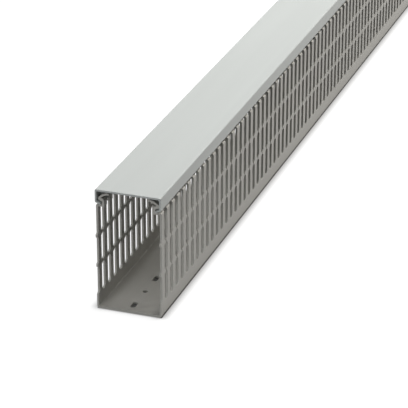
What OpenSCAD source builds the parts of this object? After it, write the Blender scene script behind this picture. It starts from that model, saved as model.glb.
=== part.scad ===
// Slotted wiring duct with a clip-on cover, in a length that it is sold in.
// X is the width, Y the length and Z the height. The origin is the middle of the
// underside, and the front end is at y = -duct_l / 2.

/* [Duct] */
// Outside width over the side walls
duct_w = 56; // [50:1:80]
// Overall height with the cover on
duct_h = 106; // [95:1:120]
// Length of the stock, a whole number of pitches
duct_l = 1000; // [500:25:1000]
// Thickness of the side walls
wall_t = 1.7; // [1.5:0.1:2]
// Thickness of the base
base_t = 2; // [1.6:0.1:2.4]
// Outside radius where the base turns up into a side wall
base_r = 2.5; // [2:0.1:4]

/* [Side slots] */
// Distance from one slot to the next
pitch = 12.5; // [12.5:12.5:25]
// Width of a slot: the rest of the pitch is the finger
slot_w = 6.6; // [5:0.1:7.4]
// From the front end to the middle of the first whole slot
first_slot = 11.3; // [10:0.1:12.4]
// Height of the solid strip under the slots
strip_h = 12.7; // [10:0.1:16]
// Height of the lower pair of nibs, at their middle
lower_nib_z = 38.6; // [32:0.1:42]
// Height of the upper pair of nibs, at their middle
upper_nib_z = 64.7; // [58:0.1:68]
// Gap left between two nibs that face each other
nib_gap = 1.4; // [1:0.1:2.5]
// Height of a nib where it grows out of its finger
nib_root = 5; // [3:0.1:6]
// Height of a nib at its blunt tip
nib_tip = 1.6; // [0.8:0.1:2.5]

/* [Base holes] */
// Distance from one base hole to the next
hole_step = 25; // [25:12.5:100]
// Diameter of the round holes, and width of the oblong ones
hole_d = 4.5; // [4:0.1:6]
// Length of the oblong holes, along the duct
oblong_l = 10; // [8:0.5:14]

/* [Cover] */
// Thickness of the top of the cover
cover_t = 1.6; // [1.4:0.1:2]
// Thickness of the two flanges
flange_t = 1.4; // [1.2:0.1:1.6]
// Outside radius of the cover's long edges
cover_r = 1.2; // [0.8:0.1:1.4]

/* [Hidden] */
$fn = 48;
over = 1;                   // how far a cutting shape runs past a face
half_w = duct_w / 2;
front = -duct_l / 2;
last_slot = duct_l + first_slot - pitch;   // slot that the far end is cut through
hook_h = 13.8;              // from the shoulder under the cover's lips to the cover's top
shoulder_z = duct_h - hook_h;
hook_root = 8;              // how far the hook's outline runs down into the side wall

// Hook at the top of a finger, with z from the top of its shoulder
hook = [
    [half_w, -hook_root], [half_w, -1.3], [half_w - 0.3, -0.5], [half_w - 0.9, 0],
    [half_w - 5.5, 0.2],                                                  // shoulder
    [half_w - 5.5, 2.9], [half_w - 2.4, 4.1],                             // neck and underside of the barb
    [half_w - 1.9, 4.7], [half_w - 1.9, 5.7], [half_w - 2.7, 6.9],        // nose of the barb
    [half_w - 6, 9.3], [half_w - 9.4, 10.6], [half_w - 10.8, 10.3],       // top of the arm
    [half_w - 11.6, 9.2], [half_w - 10.6, 8.7], [half_w - 9.7, 8.9],      // turned-down tip
    [half_w - 6.5, 7.7], [half_w - 4.2, 5.9],                             // under the arm
    [half_w - 6.3, 4.9], [half_w - 7.2, 3.6], [half_w - 7.2, -wall_t],    // inside of the neck
    [half_w - wall_t, -wall_t], [half_w - wall_t, -hook_root]
];

// The same outline on the other side of the middle plane
function flipped(points) = [for (i = [len(points) - 1 : -1 : 0]) [-points[i].x, points[i].y]];

// Runs a cross-section, drawn in X and Z, along the whole duct
module along_duct() {
    translate([0, duct_l / 2, 0]) rotate([90, 0, 0]) linear_extrude(height = duct_l) children();
}

// Rectangle on the X axis with round lower corners
module round_bottom(w, h, r) {
    translate([-w / 2, r]) square([w, h - r]);
    translate([r - w / 2, 0]) square([w - 2 * r, 2 * r]);
    for (side = [-1, 1]) translate([side * (w / 2 - r), r]) circle(r = r);
}

module trough_section() {
    difference() {
        round_bottom(duct_w, shoulder_z - hook_root / 2, base_r);
        translate([0, base_t]) round_bottom(duct_w - 2 * wall_t, duct_h, base_r - wall_t + 0.3);
    }
    translate([0, shoulder_z]) {
        polygon(hook);
        polygon(flipped(hook));
    }
}

// One nib, with y from the middle of the slot and z from the nib's middle
nib = [
    [nib_gap / 2, -nib_tip / 2], [slot_w / 2, -nib_root / 2], [slot_w / 2 + over, -nib_root / 2],
    [slot_w / 2 + over, nib_root / 2], [slot_w / 2, nib_root / 2], [nib_gap / 2, nib_tip / 2]
];

// Outline of a side slot, drawn in Y and Z: round below, open above, pinched by two pairs
// of nibs
module slot_outline() {
    difference() {
        union() {
            translate([0, strip_h + slot_w / 2]) circle(d = slot_w);
            translate([-slot_w / 2, strip_h + slot_w / 2]) square([slot_w, duct_h]);
        }
        for (z = [lower_nib_z, upper_nib_z]) translate([0, z]) {
            polygon(nib);
            polygon(flipped(nib));
        }
    }
}

// One slot through both walls
module slot() {
    translate([-half_w - over, 0, 0]) rotate([90, 0, 90])
        linear_extrude(height = duct_w + 2 * over) slot_outline();
}

// The far end is sawn through its last slot, whose far half has no finger to carry nibs
module far_end_cut() {
    translate([-half_w - over, front + last_slot, strip_h + slot_w / 2])
        cube([duct_w + 2 * over, pitch, duct_h]);
}

module round_hole() {
    translate([0, 0, -over]) cylinder(d = hole_d, h = base_t + 2 * over);
}

module oblong_hole() {
    straight = oblong_l - hole_d;
    for (end = [-1, 1]) translate([0, end * straight / 2, 0]) round_hole();
    translate([-hole_d / 2, -straight / 2, -over]) cube([hole_d, straight, base_t + 2 * over]);
}

module trough() {
    color([0.66, 0.66, 0.64]) difference() {
        along_duct() trough_section();
        for (y = [first_slot - pitch : pitch : duct_l]) translate([0, front + y, 0]) slot();
        far_end_cut();
        for (y = [first_slot : 2 * hole_step : duct_l]) translate([0, front + y, 0]) oblong_hole();
        for (y = [first_slot + hole_step : 2 * hole_step : duct_l]) translate([0, front + y, 0]) round_hole();
    }
}

// Points of an arc about c, from angle a to angle b
function arc(c, r, a, b, steps = 6) =
    [for (i = [0 : steps]) c + r * [cos(a + (b - a) * i / steps), sin(a + (b - a) * i / steps)]];

// Right half of the cover's section, with z from the top of the cover
cover_half = concat(
    arc([half_w - cover_r, -cover_r], cover_r, 90, 0),                    // long edge of the top
    arc([half_w - 0.8, -10.6], 0.8, 0, -65, 4),                           // foot of the flange
    arc([half_w - 4.1, -12.2], 0.7, -105, -250, 4),                       // lip that closes under the barb
    [[half_w - flange_t - 0.4, -10.6], [half_w - flange_t, -10.2],
     [half_w - flange_t, -cover_t - 0.6], [half_w - flange_t - 0.6, -cover_t]]    // inside
);

module cover_section() {
    translate([0, duct_h]) polygon(concat(cover_half, flipped(cover_half)));
}

module cover() {
    color([0.7, 0.7, 0.69]) along_duct() cover_section();
}

trough();
cover();
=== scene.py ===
# %% [markdown]
# # Slotted wiring duct
#
# This scene dresses a length of slotted wiring duct: an extruded trough of rigid PVC with
# punched side walls and base, and an extruded cover that clips over it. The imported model
# already holds both pieces at their real size. What is left is the finish: how extruded
# PVC takes the light, how the camera sees the long duct, and what the duct lies on.

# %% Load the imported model
import math

import bpy
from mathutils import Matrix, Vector


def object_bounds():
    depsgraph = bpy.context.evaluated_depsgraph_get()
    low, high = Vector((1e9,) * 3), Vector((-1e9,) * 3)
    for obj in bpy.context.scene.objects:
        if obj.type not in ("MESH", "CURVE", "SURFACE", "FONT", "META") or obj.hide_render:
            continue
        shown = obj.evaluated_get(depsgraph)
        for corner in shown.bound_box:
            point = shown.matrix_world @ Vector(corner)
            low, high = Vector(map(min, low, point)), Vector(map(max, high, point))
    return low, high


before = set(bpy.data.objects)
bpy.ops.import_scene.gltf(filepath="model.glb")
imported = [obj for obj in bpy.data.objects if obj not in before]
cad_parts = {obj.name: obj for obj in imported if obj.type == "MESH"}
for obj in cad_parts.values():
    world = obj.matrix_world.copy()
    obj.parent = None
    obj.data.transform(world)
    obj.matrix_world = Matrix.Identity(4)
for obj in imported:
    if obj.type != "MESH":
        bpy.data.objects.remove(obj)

cad_low, cad_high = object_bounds()
print("duct, in mm:", [round(1000 * side) for side in cad_high - cad_low])

# %% [markdown]
# ## Units and small helpers
#
# Blender works in metres and in linear light. The sizes of a duct are easier to read in
# millimetres, and its colours as sRGB hex values. So a constant turns millimetres into
# metres, and a function turns a hex value into linear light.

# %% Units and colours
MM = 0.001


def linear(hex_colour):
    """A colour written as sRGB hex, such as "#A8A8A4", as Blender's linear RGBA."""
    channels = [int(hex_colour[i:i + 2], 16) / 255 for i in (1, 3, 5)]
    return [c / 12.92 if c <= 0.04045 else ((c + 0.055) / 1.055) ** 2.4 for c in channels] + [1]


print("mid grey, linear:", round(linear("#808080")[0], 3))

# %% [markdown]
# A material is a small graph of nodes, and so is the world. One helper adds a node, sets
# its fields and sockets, and links what is handed to it, so each graph reads as a list.

# %% A node with its settings and links
def add_node(owner, kind, fields=(), **inputs):
    """Adds a node to a material or a world. Each further name is a socket, with underscores
    for its spaces, or input_2 for the one with index 2. An output socket is linked to it,
    and any other value is set on it."""
    node = owner.node_tree.nodes.new("ShaderNode" + kind)
    for field, value in dict(fields).items():
        setattr(node, field, value)
    for name, value in inputs.items():
        index = int(name[6:]) if name.startswith("input_") else name.replace("_", " ")
        socket = node.inputs[index]
        if isinstance(value, bpy.types.NodeSocket):
            owner.node_tree.links.new(value, socket)
        else:
            socket.default_value = value
    return node


def new_material(name):
    """A node material that holds only its output node, and that node."""
    material = bpy.data.materials.new(name)
    material.use_nodes = True
    material.node_tree.nodes.clear()
    return material, add_node(material, "OutputMaterial")


print("materials so far:", len(bpy.data.materials))

# %% [markdown]
# ## Rigid PVC, extruded
#
# Duct is made of unplasticised PVC, pressed hot through a die and drawn off along its
# length. That leaves three things for the eye. The surface is semi-matte. Very fine lines
# run along the duct, where the die drags on the soft plastic. And the grey is a little
# uneven, because the chalk and pigment in it never mix quite evenly.
#
# All this could be painted on a picture and wrapped round the duct, or the lines cut into
# its mesh. Noise in real millimetres needs neither, and fits a piece of any length. It is
# stretched along Y, so that it changes fast across the profile and slowly along it: once
# narrow, for the die lines, and once wider, for paler and darker streaks. The two together
# tint the grey and make it here a little duller, there a little glossier. The die lines
# also raise the surface a trace.

# %% The sizes of the pattern
DIE_LINE = 0.9 * MM         # distance between die lines; the real ones are finer than shows
DIE_RUN = 400 * MM          # how far a die line runs before it fades
STREAK = 14 * MM            # width of the paler and darker streaks in the grey
STREAK_RUN = 300 * MM       # and their length
LINE_SHARE = 0.35           # how much the die lines count beside the streaks
COLOUR_RANGE = 0.4, 0.95    # values of the two together that give the darkest and palest grey
GLOSS_RANGE = 0.35, 1.0     # and those that give the least and most roughness
GLOSSIER = 0.05             # how far the roughness then falls below its middle value
DULLER = 0.06               # and how far it rises above it
LINE_HEIGHT = 0.03 * MM     # how far a die line stands up
LINE_STRENGTH = 0.18        # and the share of that which the light meets
PVC_IOR = 1.53              # typical of rigid PVC

print("die lines every", round(DIE_LINE / MM, 1), "mm, streaks", round(STREAK / MM), "mm wide")

# %% The extruded PVC material
def extruded_pvc(name, light_hex, dark_hex, roughness):
    """Semi-matte rigid PVC with die lines and faint streaks along Y."""
    material, output = new_material(name)
    place = add_node(material, "TexCoord").outputs["Object"]
    narrow = add_node(material, "Mapping", Vector=place,
                      Scale=(1 / DIE_LINE, 1 / DIE_RUN, 1 / DIE_LINE)).outputs["Vector"]
    die_lines = add_node(material, "TexNoise", Vector=narrow, Scale=1.0, Detail=3.0,
                         Roughness=0.6).outputs["Fac"]
    wide = add_node(material, "Mapping", Vector=place,
                    Scale=(1 / STREAK, 1 / STREAK_RUN, 1 / STREAK)).outputs["Vector"]
    streaks = add_node(material, "TexNoise", Vector=wide, Scale=1.0, Detail=4.0,
                       Roughness=0.55).outputs["Fac"]
    both = add_node(material, "Math", {"operation": "MULTIPLY_ADD"}, input_0=die_lines,
                    input_1=LINE_SHARE, input_2=streaks).outputs["Value"]
    shade = add_node(material, "MapRange", Value=both, From_Min=COLOUR_RANGE[0],
                     From_Max=COLOUR_RANGE[1]).outputs["Result"]
    colour = add_node(material, "Mix", {"data_type": "RGBA"}, input_0=shade,
                      input_6=linear(dark_hex), input_7=linear(light_hex)).outputs[2]
    gloss = add_node(material, "MapRange", Value=both, From_Min=GLOSS_RANGE[0],
                     From_Max=GLOSS_RANGE[1], To_Min=roughness - GLOSSIER,
                     To_Max=roughness + DULLER).outputs["Result"]
    relief = add_node(material, "Bump", Height=die_lines, Strength=LINE_STRENGTH,
                      Distance=LINE_HEIGHT).outputs["Normal"]
    pvc = add_node(material, "BsdfPrincipled", Base_Color=colour, Roughness=gloss,
                   Normal=relief, IOR=PVC_IOR).outputs["BSDF"]
    material.node_tree.links.new(pvc, output.inputs["Surface"])
    return material


trough_pvc = extruded_pvc("rigid_pvc_trough_extruded", "#B7B6B1", "#AEADA8", 0.44)
cover_pvc = extruded_pvc("rigid_pvc_cover_extruded", "#BEC3C2", "#B8BDBC", 0.40)
print("made", trough_pvc.name, "and", cover_pvc.name)

# %% [markdown]
# Trough and cover are extruded apart. The cover here is a shade paler and cooler than the
# trough, and a touch glossier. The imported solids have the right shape, so they stay, and
# each only gets its PVC in its own material slot.

# %% The finish on both pieces
for node_name, material in (("trough", trough_pvc), ("cover", cover_pvc)):
    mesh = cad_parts[node_name].data
    mesh.materials.clear()
    mesh.materials.append(material)
    print(node_name, "wears", material.name, "on", len(mesh.polygons), "triangles")

# %% [markdown]
# ## The floor
#
# The duct lies on a plain white floor, on which it leaves a soft shadow. Where it touches,
# the shadow is narrow and dark, because only a sliver of light gets into the corner. An
# Ambient Occlusion node measures that: how much of the space close above each point of the
# floor is open.
#
# The floor could simply be white. It would then throw much light back up, the side walls
# would pale, and the slots in them would read less well. So its own colour is a grey, which
# bounced light meets, and the white is a glow on top of it that only the camera,
# reflections and see-through things meet. The glow fades into the corner shadow, and there
# is none under the duct, so that the holes in the base look into the dark.

# %% Where the floor glows
CORNER = 8 * MM             # how far the dark corner shadow reaches
CORNER_DEPTH = 1.4          # above 1 it is darker close in


def seen_directly(owner):
    """1 for rays from the camera, in reflections and through glass, 0 for bounced light."""
    rays = add_node(owner, "LightPath").outputs
    mirrored = add_node(owner, "Math", {"operation": "MAXIMUM"}, input_0=rays["Is Glossy Ray"],
                        input_1=rays["Is Transmission Ray"]).outputs["Value"]
    return add_node(owner, "Math", {"operation": "MAXIMUM"}, input_0=rays["Is Camera Ray"],
                    input_1=mirrored).outputs["Value"]


def outside_duct(material):
    """1 on the open floor and 0 under the duct."""
    place = add_node(material, "TexCoord").outputs["Object"]
    axes = add_node(material, "SeparateXYZ", Vector=place).outputs
    across = add_node(material, "Math", {"operation": "ABSOLUTE"},
                      input_0=axes["X"]).outputs["Value"]
    along = add_node(material, "Math", {"operation": "ABSOLUTE"},
                     input_0=axes["Y"]).outputs["Value"]
    beside = add_node(material, "Math", {"operation": "GREATER_THAN"}, input_0=across,
                      input_1=cad_high.x).outputs["Value"]
    beyond = add_node(material, "Math", {"operation": "GREATER_THAN"}, input_0=along,
                      input_1=cad_high.y).outputs["Value"]
    return add_node(material, "Math", {"operation": "MAXIMUM"}, input_0=beside,
                    input_1=beyond).outputs["Value"]


def open_corner(material):
    """1 on the open floor, falling toward 0 in the corner that the duct makes with it."""
    sky = add_node(material, "AmbientOcclusion", Distance=CORNER).outputs["AO"]
    return add_node(material, "Math", {"operation": "POWER"}, input_0=sky,
                    input_1=CORNER_DEPTH).outputs["Value"]


print("corner shadow reaches", round(CORNER / MM), "mm from the duct")

# %% A white floor that keeps the shadow
FLOOR_SIDE = 30.0           # metres, so that its edge is far from any view
GLOW = 0.95                 # 1 is white by itself, and the lamps add a little


def white_floor(name, grey_hex):
    """Matt grey floor that glows white for whatever looks at it."""
    material, output = new_material(name)
    matt = add_node(material, "BsdfDiffuse", Color=linear(grey_hex)).outputs["BSDF"]
    strength = GLOW
    for share in (seen_directly(material), outside_duct(material), open_corner(material)):
        strength = add_node(material, "Math", {"operation": "MULTIPLY"}, input_0=share,
                            input_1=strength).outputs["Value"]
    glow = add_node(material, "Emission", Color=linear("#FFFFFF"),
                    Strength=strength).outputs["Emission"]
    total = add_node(material, "AddShader", input_0=matt, input_1=glow).outputs["Shader"]
    material.node_tree.links.new(total, output.inputs["Surface"])
    return material


bpy.ops.mesh.primitive_plane_add(size=FLOOR_SIDE, location=(0, 0, 0))
floor = bpy.context.object
floor.name = "floor"
floor.data.materials.append(white_floor("floor_white_matt", "#6C6C6C"))
print("floor:", FLOOR_SIDE, "m square")

# %% [markdown]
# ## World
#
# Around the floor there is nothing but white. If it lit the duct in full, it would fill the
# slots and the inside, so bounced light meets only a trace of it. The camera, reflections
# and see-through things meet the full white. The camera sees the cover's top at a low
# angle, so the white shows in it as a soft sheen and makes it paler.

# %% World
FILL = 0.02                 # what bounced light meets, where 1 is white


def white_world():
    """A faint even fill, and plain white for the camera, in reflections and through glass."""
    world = bpy.data.worlds.new("studio")
    bpy.context.scene.world = world
    world.use_nodes = True
    world.node_tree.nodes.clear()
    output = add_node(world, "OutputWorld")
    fill = add_node(world, "Background", Color=linear("#FBFCFF"),
                    Strength=FILL).outputs["Background"]
    white = add_node(world, "Background", Color=linear("#FFFFFF"),
                     Strength=1.0).outputs["Background"]
    chosen = add_node(world, "MixShader", input_0=seen_directly(world), input_1=fill,
                      input_2=white).outputs["Shader"]
    world.node_tree.links.new(chosen, output.inputs["Surface"])
    return world


print("world:", white_world().name, "with a fill of", FILL)

# %% [markdown]
# ## Lamps
#
# Product light for pale plastic is soft and comes mostly from above: the cover's top is
# then the lightest face, the side walls are a step darker, and the inside of the duct
# falls away into shade. One lamp overhead would do that, but every part of a wall would be
# about as light as the next. So two stand high behind the duct, the stronger to its right,
# and the right wall grows a little paler toward the far end. A low lamp in front, left of
# the duct's own line, lights the cut end without shining on the inside of the left wall.
# Two weak ones, above the front and above the left, keep those sides from going dark.

# %% Lamps
def area_lamp(name, place, aim, side, watts, colour="#FFFFFF"):
    """A square soft box at a place, turned to face a point."""
    data = bpy.data.lights.new(name, "AREA")
    data.shape = "SQUARE"
    data.size = side
    data.energy = watts
    data.color = linear(colour)[:3]
    lamp = bpy.data.objects.new(name, data)
    bpy.context.scene.collection.objects.link(lamp)
    lamp.location = place
    lamp.rotation_euler = (Vector(aim) - Vector(place)).to_track_quat("-Z", "Y").to_euler()
    return lamp


area_lamp("back_overhead_softbox", place=(0.0, 1.3, 1.9), aim=(0, -0.1, 0.05),
          side=1.0, watts=17)
area_lamp("right_back_softbox", place=(1.0, 0.9, 1.7), aim=(0, -0.2, 0.05),
          side=0.8, watts=39, colour="#FFFBF4")
area_lamp("front_overhead_softbox", place=(0.0, -1.4, 1.9), aim=(0, -0.3, 0.05),
          side=1.0, watts=7)
area_lamp("front_left_softbox", place=(-0.9, -3.1, 0.6), aim=(0, -0.5, 0.05),
          side=0.9, watts=22)
area_lamp("left_softbox", place=(-1.2, 0.0, 1.9), aim=(0, -0.2, 0.05),
          side=0.9, watts=9)

# %% [markdown]
# ## Camera
#
# The camera stands in front of the cut end, a little to the right and above. From close by,
# with a wide lens, the end would loom over a duct that dwindles fast, and the uprights
# would lean together. So it stands nearly two metres back with a long lens, which keeps the
# uprights nearly parallel, and the far end of the duct runs out of the picture.

# %% Camera
AZIMUTH = math.radians(19.4)      # how far it stands to the right of the duct's own line
ELEVATION = math.radians(24.8)    # how far it looks down
DISTANCE = 1.841                  # metres, from the point that it looks at
LENS = 184.3                      # millimetres
SENSOR = 36                       # millimetres
AHEAD = 182 * MM                  # the point it looks at: this far behind the cut end
ABOVE = 18 * MM                   # and this far above the floor

aim = Vector((0, cad_low.y + AHEAD, ABOVE))
back = Vector((math.sin(AZIMUTH) * math.cos(ELEVATION),
               -math.cos(AZIMUTH) * math.cos(ELEVATION), math.sin(ELEVATION)))
camera_data = bpy.data.cameras.new("camera")
camera_data.lens = LENS
camera_data.sensor_width = SENSOR
camera_data.clip_end = 100        # metres, past the far edge of the floor
camera = bpy.data.objects.new("camera", camera_data)
bpy.context.scene.collection.objects.link(camera)
camera.location = aim + DISTANCE * back
camera.rotation_euler = (-back).to_track_quat("-Z", "Y").to_euler()
bpy.context.scene.camera = camera
print("camera at", [round(v, 2) for v in camera.location])

# %% [markdown]
#
# The Standard view shows colours as they are written.

# %% Finish
bpy.context.scene.view_settings.view_transform = "Standard"
